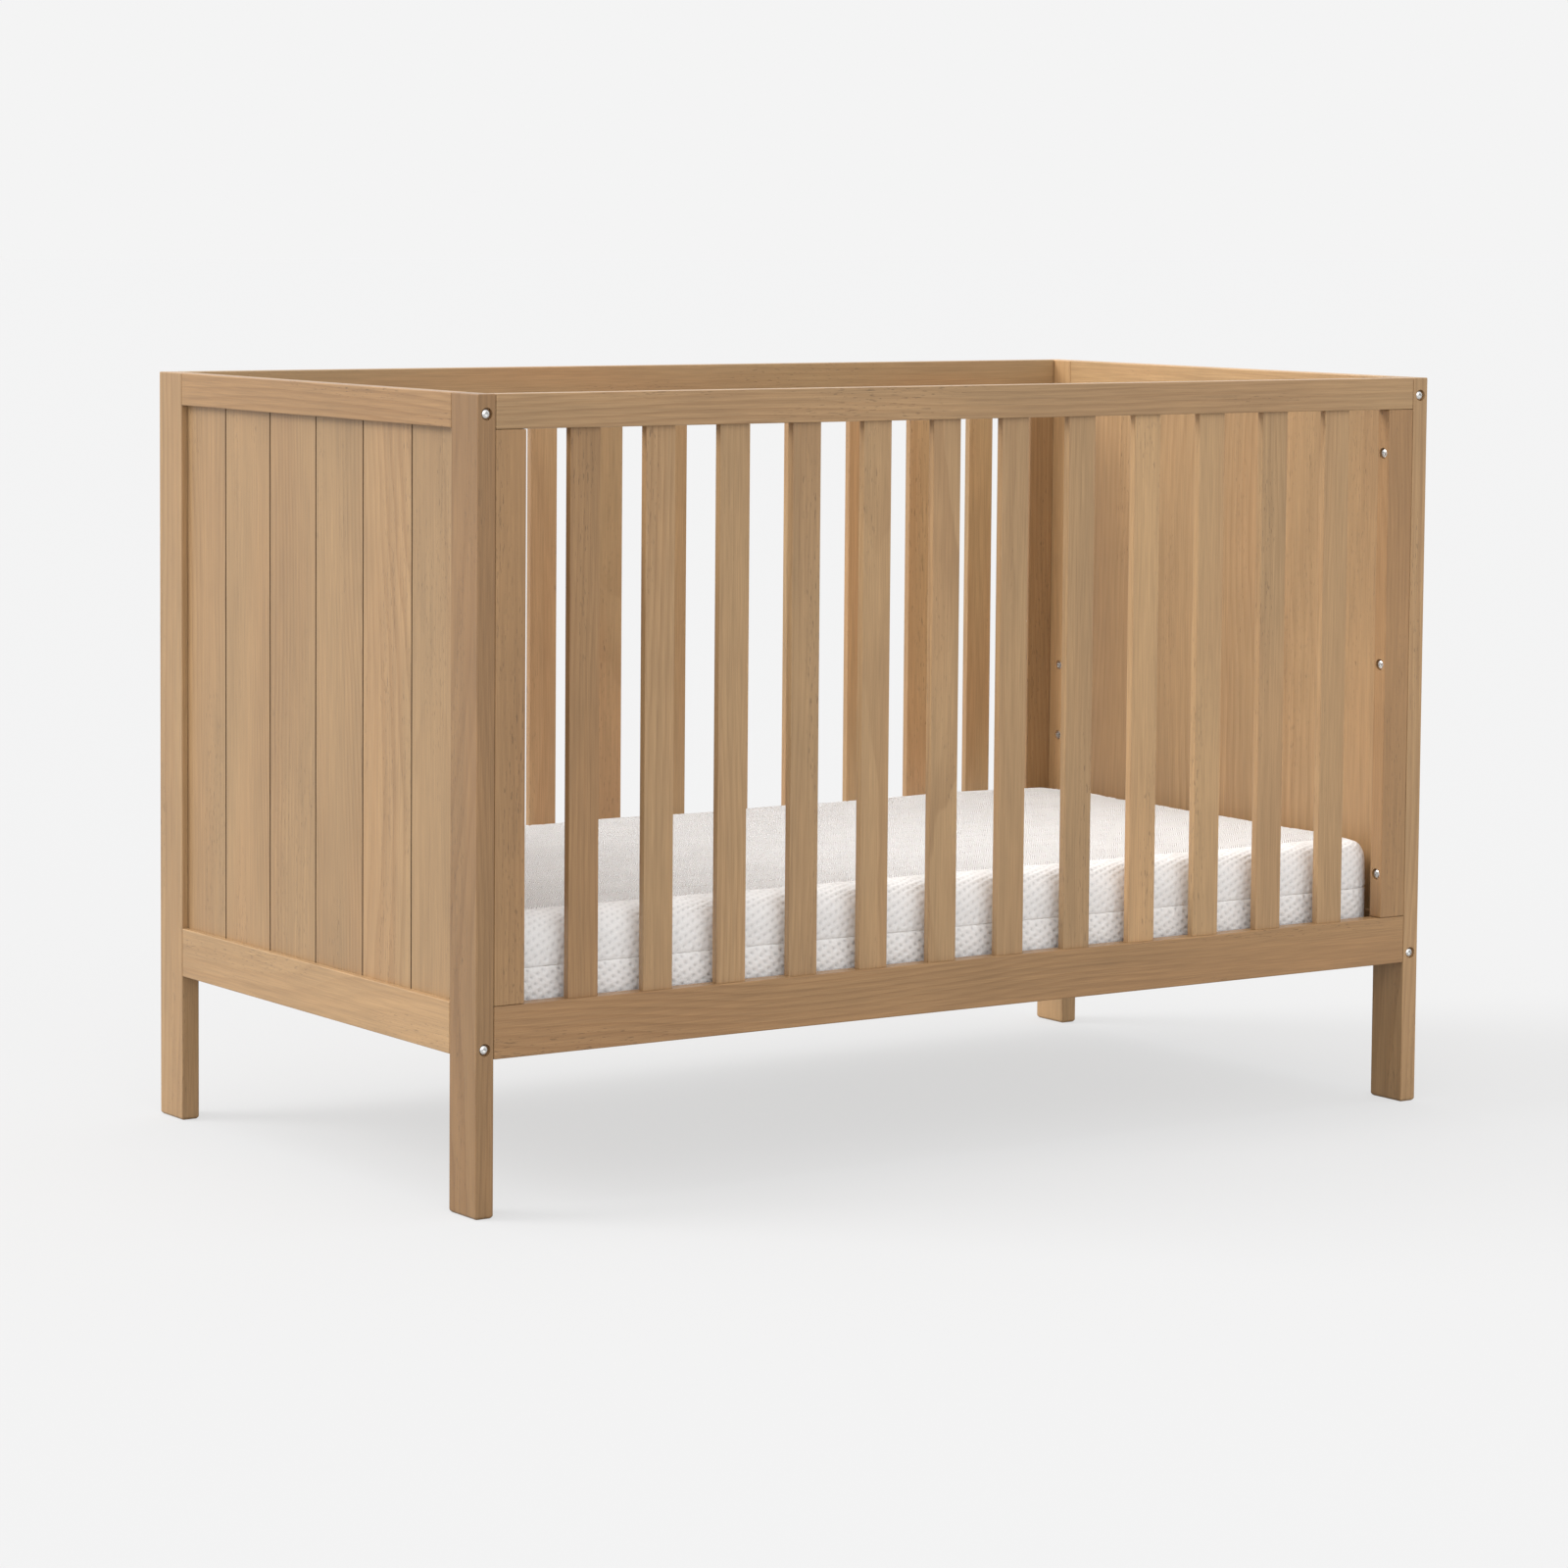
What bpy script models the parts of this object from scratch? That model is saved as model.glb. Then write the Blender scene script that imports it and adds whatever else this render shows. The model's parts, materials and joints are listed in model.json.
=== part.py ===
"""Full-size baby crib: a wooden frame with slatted sides, panelled ends, a height-adjustable
mattress support and a knit-covered mattress.

Units are metres and +Z is up.  The origin is the centre of the crib's footprint on the floor,
+X runs along the crib and -Y is the front side.
"""
import bmesh
import bpy
from mathutils import Matrix, Vector

# Overall size
LENGTH = 1.380
WIDTH = 0.756
HEIGHT = 0.914

# Corner posts: flat boards, thin along X and deep along Y
POST_THICK = 0.023
POST_DEPTH = 0.0575

# Rails
TOP_RAIL_HEIGHT = 0.039
BOTTOM_RAIL_BASE = 0.178
BOTTOM_RAIL_HEIGHT = 0.059

# Side frames at the front and the back
SIDE_THICK = 0.021
STILE_WIDTH = 0.039
SLATS_PER_SIDE = 12
SLAT_WIDTH = 0.0392
SLAT_THICK = 0.010
SLAT_TENON = 0.008

# End panels: one board each, grooved on the outside
PANEL_SETBACK = 0.008
PANEL_THICK = 0.012
PANEL_TONGUE = 0.006
PLANK_PITCH = 0.1108
PLANK_LINES = 5
PLANK_LINE_WIDTH = 0.0022
PLANK_LINE_DEPTH = 0.003

# Clearances
TOUCH_GAP = 0.0003
FRAME_GAP = 0.0005

# Edge easing of the boards
EDGE_EASE = 0.0012
FOOT_EASE = 0.0025
SLAT_EASE = 0.0010

# Frame bolts
HEAD_RADIUS = 0.0058
HEAD_HEIGHT = 0.0033
SHANK_RADIUS = 0.003
BORE_RADIUS = 0.0033
RECESS_RADIUS = 0.0071
RECESS_DEPTH = 0.0042
SOCKET_RADIUS = 0.0026
SOCKET_DEPTH = 0.0020
POST_BOLT_HEIGHTS = {"top": 0.892, "bottom": 0.1895}
POST_BOLT_REACH = 0.035
STILE_BOLT_HEIGHTS = (0.2915, 0.5555, 0.820)
STILE_BOLT_REACH = 0.014

# Mattress support: four heights to bolt it at
SUPPORT_LEVELS = 4
SUPPORT_LEVEL_BASE = 0.2055
SUPPORT_LEVEL_STEP = 0.0965
SUPPORT_HOLE_INSET = 0.039
SUPPORT_HOLE_RADIUS = 0.0057
SUPPORT_HOLE_DEPTH = 0.014
SUPPORT_RECESS_RADIUS = 0.0066
SUPPORT_RECESS_DEPTH = 0.0016
ANGLE_BASE = 0.1860
ANGLE_HEIGHT = 0.038
ANGLE_THICK = 0.003
ANGLE_SHELF = 0.030
ANGLE_LENGTH = 0.706
DECK_THICK = 0.012
DECK_WIDTH = 0.690
DECK_VENTS_X = 5
DECK_VENTS_Y = 2
DECK_VENT_RADIUS = 0.030
BEARER_HEIGHT = 0.022
BEARER_WIDTH = 0.040
BEARER_SPREAD = 0.500

# Mattress
MATTRESS_LENGTH = 1.312
MATTRESS_WIDTH = 0.692
MATTRESS_THICK = 0.133
MATTRESS_CORNER = 0.040
MATTRESS_EDGE = 0.022

# Derived places
HALF_X = LENGTH / 2
HALF_Y = WIDTH / 2
POST_INNER_X = HALF_X - POST_THICK
POST_INNER_Y = HALF_Y - POST_DEPTH
BOTTOM_RAIL_TOP = BOTTOM_RAIL_BASE + BOTTOM_RAIL_HEIGHT
TOP_RAIL_BASE = HEIGHT - TOP_RAIL_HEIGHT
SIDE_MID_Y = HALF_Y - SIDE_THICK / 2
FRAME_END_X = POST_INNER_X - FRAME_GAP
STILE_EDGE_X = FRAME_END_X - STILE_WIDTH
SLAT_GAP = (2 * STILE_EDGE_X - SLATS_PER_SIDE * SLAT_WIDTH) / (SLATS_PER_SIDE + 1)
SLAT_PITCH = SLAT_WIDTH + SLAT_GAP
POST_MID_X = HALF_X - POST_THICK / 2
SUPPORT_HOLE_Y = HALF_Y - SUPPORT_HOLE_INSET
DECK_BASE = ANGLE_BASE + ANGLE_THICK + TOUCH_GAP
DECK_TOP = DECK_BASE + DECK_THICK
MATTRESS_BASE = DECK_TOP + TOUCH_GAP

ENDS = {"left": -1, "right": 1}
SIDES = {"front": -1, "back": 1}


def clear_scene():
    for obj in list(bpy.data.objects):
        bpy.data.objects.remove(obj, do_unlink=True)


def new_collection(name):
    old = bpy.data.collections.get(name)
    if old:
        bpy.data.collections.remove(old)
    made = bpy.data.collections.new(name)
    bpy.context.scene.collection.children.link(made)
    return made


def principled(name, colour, roughness, metallic=0.0):
    mat = bpy.data.materials.get(name) or bpy.data.materials.new(name)
    mat.use_nodes = True
    shader = mat.node_tree.nodes["Principled BSDF"]
    shader.inputs["Base Color"].default_value = (*colour, 1.0)
    shader.inputs["Roughness"].default_value = roughness
    shader.inputs["Metallic"].default_value = metallic
    return mat


def mesh_from(bm, name):
    mesh = bpy.data.meshes.new(name)
    bm.to_mesh(mesh)
    bm.free()
    return mesh


def add_box(bm, low, high):
    low, high = Vector(low), Vector(high)
    size = high - low
    place = Matrix.Translation((low + high) / 2) @ Matrix.Diagonal((*size, 1.0))
    bmesh.ops.create_cube(bm, size=1.0, matrix=place)


def add_cylinder(bm, radius, start, end, segments):
    start, end = Vector(start), Vector(end)
    axis = end - start
    turn = Vector((0, 0, 1)).rotation_difference(axis).to_matrix().to_4x4()
    place = Matrix.Translation((start + end) / 2) @ turn
    bmesh.ops.create_cone(bm, cap_ends=True, segments=segments, radius1=radius,
                          radius2=radius, depth=axis.length, matrix=place)


class Builder:
    """Makes the objects and keeps them in their collections."""

    def __init__(self):
        self.parts = new_collection("baby_crib")
        self.cutters = new_collection("baby_crib_cutters")

    def place(self, name, mesh, material, location):
        obj = bpy.data.objects.new(name, mesh)
        obj.location = location
        mesh.materials.append(material)
        self.parts.objects.link(obj)
        return obj

    def board(self, name, low, high, material, ease=EDGE_EASE):
        """A rectangular board between two corners, with eased edges."""
        low, high = Vector(low), Vector(high)
        middle = (low + high) / 2
        bm = bmesh.new()
        add_box(bm, low - middle, high - middle)
        obj = self.place(name, mesh_from(bm, name), material, middle)
        bevel = obj.modifiers.new("eased_edges", "BEVEL")
        bevel.width = ease
        bevel.segments = 2
        bevel.limit_method = "ANGLE"
        return obj

    def cut(self, target, purpose, bm):
        """Cuts the shapes in bm, given in world space, out of target."""
        name = f"{target.name}_{purpose}"
        cutter = bpy.data.objects.new(name, mesh_from(bm, name))
        cutter.hide_render = True
        cutter.display_type = "WIRE"
        self.cutters.objects.link(cutter)
        hole = target.modifiers.new(purpose, "BOOLEAN")
        hole.operation = "DIFFERENCE"
        hole.solver = "EXACT"
        hole.object = cutter


def corners():
    """Names and signs of the four corners."""
    for side, sy in SIDES.items():
        for end, sx in ENDS.items():
            yield f"{side}_{end}", sx, sy


def span(near, far, sign):
    """Low and high of a stretch given by its distances from the middle on one side."""
    return (near, far) if sign > 0 else (-far, -near)


def support_levels():
    return [SUPPORT_LEVEL_BASE + SUPPORT_LEVEL_STEP * i for i in range(SUPPORT_LEVELS)]


def make_posts(build, wood):
    for corner, sx, sy in corners():
        x0, x1 = span(POST_INNER_X, HALF_X, sx)
        y0, y1 = span(POST_INNER_Y, HALF_Y, sy)
        post = build.board(f"post_{corner}", (x0, y0, 0), (x1, y1, HEIGHT), wood)
        ease_foot(post.data)
        build.cut(post, "bolt_recesses", post_recesses(sx, sy))
        build.cut(post, "bores", post_bores(sx, sy))
        build.cut(post, "panel_groove", post_groove(sx, sy))


def ease_foot(mesh):
    """Chamfers the rim of a post's lower end, so it doesn't splinter on the floor."""
    bm = bmesh.new()
    bm.from_mesh(mesh)
    foot = min(v.co.z for v in bm.verts)
    rim = [e for e in bm.edges if all(abs(v.co.z - foot) < EDGE_EASE for v in e.verts)]
    bmesh.ops.bevel(bm, geom=rim, offset=FOOT_EASE, segments=1, affect="EDGES")
    bm.to_mesh(mesh)
    bm.free()


def post_recesses(sx, sy):
    bm = bmesh.new()
    for height in POST_BOLT_HEIGHTS.values():
        outside = (sx * POST_MID_X, sy * (HALF_Y + RECESS_DEPTH), height)
        floor = (sx * POST_MID_X, sy * (HALF_Y - RECESS_DEPTH), height)
        add_cylinder(bm, RECESS_RADIUS, outside, floor, 24)
    for height in support_levels():
        outside = (sx * (POST_INNER_X - SUPPORT_RECESS_DEPTH), sy * SUPPORT_HOLE_Y, height)
        floor = (sx * (POST_INNER_X + SUPPORT_RECESS_DEPTH), sy * SUPPORT_HOLE_Y, height)
        add_cylinder(bm, SUPPORT_RECESS_RADIUS, outside, floor, 20)
    return bm


def post_bores(sx, sy):
    """Through bores for the end bolts, blind bores for the stile bolts and the support."""
    bm = bmesh.new()
    for height in POST_BOLT_HEIGHTS.values():
        start = (sx * POST_MID_X, sy * (HALF_Y - RECESS_DEPTH / 2), height)
        end = (sx * POST_MID_X, sy * (POST_INNER_Y - RECESS_DEPTH), height)
        add_cylinder(bm, BORE_RADIUS, start, end, 12)
    for height in STILE_BOLT_HEIGHTS:
        start = (sx * (POST_INNER_X - RECESS_DEPTH), sy * SIDE_MID_Y, height)
        end = (sx * (POST_INNER_X + STILE_BOLT_REACH), sy * SIDE_MID_Y, height)
        add_cylinder(bm, BORE_RADIUS, start, end, 12)
    for height in support_levels():
        start = (sx * (POST_INNER_X - RECESS_DEPTH), sy * SUPPORT_HOLE_Y, height)
        end = (sx * (POST_INNER_X + SUPPORT_HOLE_DEPTH), sy * SUPPORT_HOLE_Y, height)
        add_cylinder(bm, SUPPORT_HOLE_RADIUS, start, end, 16)
    return bm


def groove_x(sx):
    """The X stretch of the housing that holds an end panel."""
    outer = HALF_X - PANEL_SETBACK + TOUCH_GAP
    inner = HALF_X - PANEL_SETBACK - PANEL_THICK - TOUCH_GAP
    return span(inner, outer, sx)


def post_groove(sx, sy):
    x0, x1 = groove_x(sx)
    y0, y1 = span(POST_INNER_Y - PANEL_TONGUE, POST_INNER_Y + PANEL_TONGUE, sy)
    bm = bmesh.new()
    low = BOTTOM_RAIL_TOP - PANEL_TONGUE - TOUCH_GAP
    high = TOP_RAIL_BASE + PANEL_TONGUE + TOUCH_GAP
    add_box(bm, (x0, y0, low), (x1, y1, high))
    return bm


def make_ends(build, wood):
    for end, sx in ENDS.items():
        make_end_rail(build, wood, end, sx, "top", TOP_RAIL_BASE, HEIGHT, TOP_RAIL_BASE)
        make_end_rail(build, wood, end, sx, "bottom", BOTTOM_RAIL_BASE, BOTTOM_RAIL_TOP,
                      BOTTOM_RAIL_TOP)
        make_end_panel(build, wood, end, sx)


def make_end_rail(build, wood, end, sx, level, base, top, groove_face):
    x0, x1 = span(POST_INNER_X, HALF_X, sx)
    half = POST_INNER_Y - TOUCH_GAP
    rail = build.board(f"end_rail_{level}_{end}", (x0, -half, base), (x1, half, top), wood)
    g0, g1 = groove_x(sx)
    groove = bmesh.new()
    add_box(groove, (g0, -HALF_Y, groove_face - PANEL_TONGUE),
            (g1, HALF_Y, groove_face + PANEL_TONGUE))
    build.cut(rail, "panel_groove", groove)
    bores = bmesh.new()
    height = POST_BOLT_HEIGHTS[level]
    for sy in SIDES.values():
        start = (sx * POST_MID_X, sy * HALF_Y, height)
        end_point = (sx * POST_MID_X, sy * (half - POST_BOLT_REACH - RECESS_DEPTH), height)
        add_cylinder(bores, BORE_RADIUS, start, end_point, 12)
    build.cut(rail, "bores", bores)


def make_end_panel(build, wood, end, sx):
    x0, x1 = span(HALF_X - PANEL_SETBACK - PANEL_THICK, HALF_X - PANEL_SETBACK, sx)
    reach = PANEL_TONGUE - TOUCH_GAP
    half = POST_INNER_Y + reach
    low, high = BOTTOM_RAIL_TOP - reach, TOP_RAIL_BASE + reach
    panel = build.board(f"end_panel_{end}", (x0, -half, low), (x1, half, high), wood, 0.0005)
    lines = bmesh.new()
    face = HALF_X - PANEL_SETBACK
    g0, g1 = span(face - PLANK_LINE_DEPTH, face + PLANK_LINE_DEPTH, sx)
    for i in range(PLANK_LINES):
        y = (i - (PLANK_LINES - 1) / 2) * PLANK_PITCH
        add_box(lines, (g0, y - PLANK_LINE_WIDTH / 2, 0), (g1, y + PLANK_LINE_WIDTH / 2, HEIGHT))
    build.cut(panel, "plank_lines", lines)


def make_sides(build, wood):
    for side, sy in SIDES.items():
        y0, y1 = span(HALF_Y - SIDE_THICK, HALF_Y, sy)
        top = build.board(f"side_rail_top_{side}", (-FRAME_END_X, y0, TOP_RAIL_BASE),
                          (FRAME_END_X, y1, HEIGHT), wood)
        bottom = build.board(f"side_rail_bottom_{side}", (-FRAME_END_X, y0, BOTTOM_RAIL_BASE),
                             (FRAME_END_X, y1, BOTTOM_RAIL_TOP), wood)
        build.cut(top, "mortises", slat_mortises(sy, TOP_RAIL_BASE))
        build.cut(bottom, "mortises", slat_mortises(sy, BOTTOM_RAIL_TOP))
        make_stiles(build, wood, side, sy, y0, y1)
        make_slats(build, wood, side, sy)


def slat_places():
    return [(i - (SLATS_PER_SIDE - 1) / 2) * SLAT_PITCH for i in range(SLATS_PER_SIDE)]


def slat_box(x, sy, low, high, slack=0.0):
    half_w, half_t = SLAT_WIDTH / 2 + slack, SLAT_THICK / 2 + slack
    y = sy * SIDE_MID_Y
    return (x - half_w, y - half_t, low), (x + half_w, y + half_t, high)


def slat_mortises(sy, face):
    bm = bmesh.new()
    for x in slat_places():
        depth = SLAT_TENON + TOUCH_GAP
        add_box(bm, *slat_box(x, sy, face - depth, face + depth, TOUCH_GAP))
    return bm


def make_slats(build, wood, side, sy):
    low, high = BOTTOM_RAIL_TOP - SLAT_TENON, TOP_RAIL_BASE + SLAT_TENON
    for i, x in enumerate(slat_places(), start=1):
        build.board(f"slat_{side}_{i:02d}", *slat_box(x, sy, low, high), wood, SLAT_EASE)


def make_stiles(build, wood, side, sy, y0, y1):
    for end, sx in ENDS.items():
        x0, x1 = span(STILE_EDGE_X, FRAME_END_X, sx)
        low = (x0, y0, BOTTOM_RAIL_TOP + TOUCH_GAP)
        high = (x1, y1, TOP_RAIL_BASE - TOUCH_GAP)
        stile = build.board(f"stile_{side}_{end}", low, high, wood)
        recesses, bores = bmesh.new(), bmesh.new()
        for height in STILE_BOLT_HEIGHTS:
            outside = (sx * (STILE_EDGE_X - RECESS_DEPTH), sy * SIDE_MID_Y, height)
            floor = (sx * (STILE_EDGE_X + RECESS_DEPTH), sy * SIDE_MID_Y, height)
            beyond = (sx * (FRAME_END_X + RECESS_DEPTH), sy * SIDE_MID_Y, height)
            add_cylinder(recesses, RECESS_RADIUS, outside, floor, 24)
            add_cylinder(bores, BORE_RADIUS, outside, beyond, 12)
        build.cut(stile, "bolt_recesses", recesses)
        build.cut(stile, "bores", bores)


def bolt_profile(length):
    """Half outline of a button-head bolt: head above Z = 0, shank below it."""
    return [(0, HEAD_HEIGHT), (0.55 * HEAD_RADIUS, 0.92 * HEAD_HEIGHT),
            (0.88 * HEAD_RADIUS, 0.60 * HEAD_HEIGHT), (HEAD_RADIUS, 0),
            (SHANK_RADIUS, 0), (SHANK_RADIUS, -length), (0, -length)]


def make_bolt(build, steel, name, seat, outward, length):
    """A bolt whose head rests at the point seat and faces along outward."""
    points = bolt_profile(length)
    mesh = bpy.data.meshes.new(name)
    edges = [(i, i + 1) for i in range(len(points) - 1)]
    mesh.from_pydata([(x, 0, z) for x, z in points], edges, [])
    bolt = build.place(name, mesh, steel, seat)
    outward = Vector(outward)
    bolt.rotation_euler = Vector((0, 0, 1)).rotation_difference(outward).to_euler()
    turn = bolt.modifiers.new("turned", "SCREW")
    turn.steps = turn.render_steps = 16
    turn.use_merge_vertices = True
    turn.merge_threshold = 0.00005
    socket = bmesh.new()
    top = Vector(seat) + outward * (HEAD_HEIGHT + SOCKET_DEPTH)
    floor = Vector(seat) + outward * (HEAD_HEIGHT - SOCKET_DEPTH)
    add_cylinder(socket, SOCKET_RADIUS, top, floor, 6)
    build.cut(bolt, "hex_socket", socket)
    return bolt


def make_post_bolts(build, steel):
    depth = RECESS_DEPTH - TOUCH_GAP
    length = POST_DEPTH - depth + POST_BOLT_REACH
    for corner, sx, sy in corners():
        for level, height in POST_BOLT_HEIGHTS.items():
            seat = (sx * POST_MID_X, sy * (HALF_Y - depth), height)
            make_bolt(build, steel, f"post_bolt_{corner}_{level}", seat, (0, sy, 0), length)


def make_support(build, steel, ply, wood):
    """The support frame, all of it parented to an empty on its slide axis."""
    slide = bpy.data.objects.new("support_slide", None)
    slide.location = (0, 0, DECK_TOP)
    build.parts.objects.link(slide)
    pieces = [make_support_deck(build, ply)]
    pieces += [make_support_angle(build, steel, end, sx) for end, sx in ENDS.items()]
    pieces += [make_bearer(build, wood, side, sy) for side, sy in SIDES.items()]
    pieces += make_support_bolts(build, steel)
    pieces.append(make_mattress(build))
    for piece in pieces:
        piece.parent = slide
        piece.location = piece.location - slide.location


def make_support_angle(build, steel, end, sx):
    """A steel angle across one end: an upright against the posts and a shelf inwards."""
    outer = POST_INNER_X - TOUCH_GAP
    x0, x1 = span(outer - ANGLE_SHELF, outer, sx)
    half = ANGLE_LENGTH / 2
    angle = build.board(f"support_angle_{end}", (x0, -half, ANGLE_BASE),
                        (x1, half, ANGLE_BASE + ANGLE_HEIGHT), steel, 0.0004)
    inside = bmesh.new()
    c0, c1 = span(outer - 2 * ANGLE_SHELF, outer - ANGLE_THICK, sx)
    add_box(inside, (c0, -HALF_Y, ANGLE_BASE + ANGLE_THICK),
            (c1, HALF_Y, ANGLE_BASE + 2 * ANGLE_HEIGHT))
    build.cut(angle, "inside", inside)
    bores = bmesh.new()
    for sy in SIDES.values():
        start = (sx * (outer - 2 * ANGLE_THICK), sy * SUPPORT_HOLE_Y, SUPPORT_LEVEL_BASE)
        stop = (sx * (outer + ANGLE_THICK), sy * SUPPORT_HOLE_Y, SUPPORT_LEVEL_BASE)
        add_cylinder(bores, BORE_RADIUS, start, stop, 12)
    build.cut(angle, "bores", bores)
    return angle


def make_support_deck(build, ply):
    half_x = POST_INNER_X - ANGLE_THICK - HEAD_HEIGHT - 3 * TOUCH_GAP
    half_y = DECK_WIDTH / 2
    deck = build.board("support_deck", (-half_x, -half_y, DECK_BASE),
                       (half_x, half_y, DECK_TOP), ply)
    vents = bmesh.new()
    for i in range(DECK_VENTS_X):
        for j in range(DECK_VENTS_Y):
            x = (i - (DECK_VENTS_X - 1) / 2) * LENGTH / (DECK_VENTS_X + 0.5)
            y = (j - (DECK_VENTS_Y - 1) / 2) * WIDTH / (DECK_VENTS_Y + 0.5)
            add_cylinder(vents, DECK_VENT_RADIUS, (x, y, DECK_BASE - DECK_THICK),
                         (x, y, DECK_TOP + DECK_THICK), 20)
    build.cut(deck, "vents", vents)
    return deck


def make_bearer(build, wood, side, sy):
    """A bearer along X under the deck, between the shelves of the two angles."""
    half_x = POST_INNER_X - ANGLE_SHELF - 3 * TOUCH_GAP
    y0, y1 = span(BEARER_SPREAD / 2 - BEARER_WIDTH / 2, BEARER_SPREAD / 2 + BEARER_WIDTH / 2, sy)
    top = DECK_BASE - TOUCH_GAP
    return build.board(f"support_bearer_{side}", (-half_x, y0, top - BEARER_HEIGHT),
                       (half_x, y1, top), wood)


def make_support_bolts(build, steel):
    """Bolts through the angles, which end flush with the angle's outer face."""
    seat_x = POST_INNER_X - TOUCH_GAP - ANGLE_THICK - TOUCH_GAP
    bolts = []
    for corner, sx, sy in corners():
        seat = (sx * seat_x, sy * SUPPORT_HOLE_Y, SUPPORT_LEVEL_BASE)
        bolts.append(make_bolt(build, steel, f"support_bolt_{corner}", seat, (-sx, 0, 0),
                               ANGLE_THICK + TOUCH_GAP))
    return bolts


def make_mattress(build):
    """A block with round corners and soft edges."""
    knit = principled("mattress_knit", (0.80, 0.77, 0.74), 0.9)
    bm = bmesh.new()
    half = Vector((MATTRESS_LENGTH / 2, MATTRESS_WIDTH / 2, MATTRESS_THICK / 2))
    add_box(bm, -half, half)
    upright = [e for e in bm.edges if abs((e.verts[0].co - e.verts[1].co).z) > MATTRESS_EDGE]
    bmesh.ops.bevel(bm, geom=upright, offset=MATTRESS_CORNER, segments=5, profile=0.5,
                    affect="EDGES")
    rims = [e for e in bm.edges if abs((e.verts[0].co - e.verts[1].co).z) < MATTRESS_EDGE]
    bmesh.ops.bevel(bm, geom=rims, offset=MATTRESS_EDGE, segments=3, profile=0.5,
                    affect="EDGES")
    middle = (0, 0, MATTRESS_BASE + MATTRESS_THICK / 2)
    mattress = build.place("mattress", mesh_from(bm, "mattress"), knit, middle)
    mattress.data.shade_smooth()
    return mattress


def main():
    clear_scene()
    build = Builder()
    wood = principled("stained_wood", (0.43, 0.28, 0.15), 0.45)
    ply = principled("plywood", (0.52, 0.38, 0.23), 0.6)
    steel = principled("zinc_steel", (0.62, 0.62, 0.60), 0.28, 1.0)
    make_posts(build, wood)
    make_ends(build, wood)
    make_sides(build, wood)
    make_post_bolts(build, steel)
    make_support(build, steel, ply, wood)


main()
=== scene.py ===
"""Looks of the baby crib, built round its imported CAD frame.

Units are metres.  -Y is the crib's front, +X its right-hand end, +Z up.
"""
import json
import math

import bmesh
import bpy
import numpy as np
from mathutils import Matrix, Vector
from mathutils.bvhtree import BVHTree


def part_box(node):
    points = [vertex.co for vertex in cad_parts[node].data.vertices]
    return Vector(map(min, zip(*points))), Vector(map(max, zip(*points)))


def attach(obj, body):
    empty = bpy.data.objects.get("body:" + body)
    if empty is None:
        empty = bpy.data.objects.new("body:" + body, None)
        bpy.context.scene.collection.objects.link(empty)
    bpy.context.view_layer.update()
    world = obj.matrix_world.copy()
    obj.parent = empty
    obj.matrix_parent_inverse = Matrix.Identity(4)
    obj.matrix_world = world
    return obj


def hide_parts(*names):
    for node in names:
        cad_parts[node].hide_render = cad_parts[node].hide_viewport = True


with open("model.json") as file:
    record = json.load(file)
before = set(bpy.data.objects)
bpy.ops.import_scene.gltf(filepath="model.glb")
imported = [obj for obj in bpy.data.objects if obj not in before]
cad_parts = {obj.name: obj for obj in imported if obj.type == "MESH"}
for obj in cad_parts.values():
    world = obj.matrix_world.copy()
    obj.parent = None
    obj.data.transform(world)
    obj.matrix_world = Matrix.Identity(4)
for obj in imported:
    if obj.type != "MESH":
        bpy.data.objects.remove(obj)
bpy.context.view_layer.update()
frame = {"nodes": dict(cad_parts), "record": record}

X, Y, Z = 0, 1, 2

# Camera: a long lens to the crib's front left, a little higher than its top rails
CAMERA_PLACE = (-3.417, -4.948, 1.121)
CAMERA_TURN = math.radians(34.44)
CAMERA_DIP = math.radians(4.574)
CAMERA_ROLL = math.radians(0.472)
CAMERA_LENS = 111.82
CAMERA_SHIFT = -0.12
CAMERA_REACH = 200.0

# Light: a white surround (as seen, and as it lights diffuse surfaces) and three broad suns
BACKDROP = 0.905
SKY_FILL = 0.78
SKY_BLUE = 1.01
KEY_POWER = 1.95
KEY_FROM = (-0.95, 0.62, 0.85)
KEY_SPREAD = math.radians(30)
TOP_POWER = 1.2
TOP_FROM = (-0.12, 0.22, 1.0)
TOP_SPREAD = math.radians(55)
FRONT_POWER = 1.2
FRONT_FROM = (-0.35, -1.0, 0.42)
FRONT_SPREAD = math.radians(75)

# Floor: a grey that glows to the camera, and a plain grey that lights the crib from below
FLOOR_SIZE = 160.0
FLOOR_TONE = 0.16
FLOOR_GLOW = 0.634
FLOOR_BOUNCE = 0.42

# Wood tones: pale early wood, darker late wood, and the two casts that drift over a board
WOOD_PALE = (0.410, 0.254, 0.123)
WOOD_DARK = (0.256, 0.139, 0.058)
WOOD_WARM = (0.388, 0.204, 0.086)
WOOD_OLIVE = (0.360, 0.240, 0.117)
RINGS_PER_METRE = (105, 150)
WOOD_RELIEF = 0.00018
FIRST_WOOD_SEED = 11

# End panels: grooves between planks, on the outer face only
PLANK_PITCH = 0.1108
GROOVE_HALF = 0.0011
GROOVE_EDGE = GROOVE_HALF * 1.25
GROOVE_STAIN = 0.35
PANEL_MID_X = 0.6765

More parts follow.
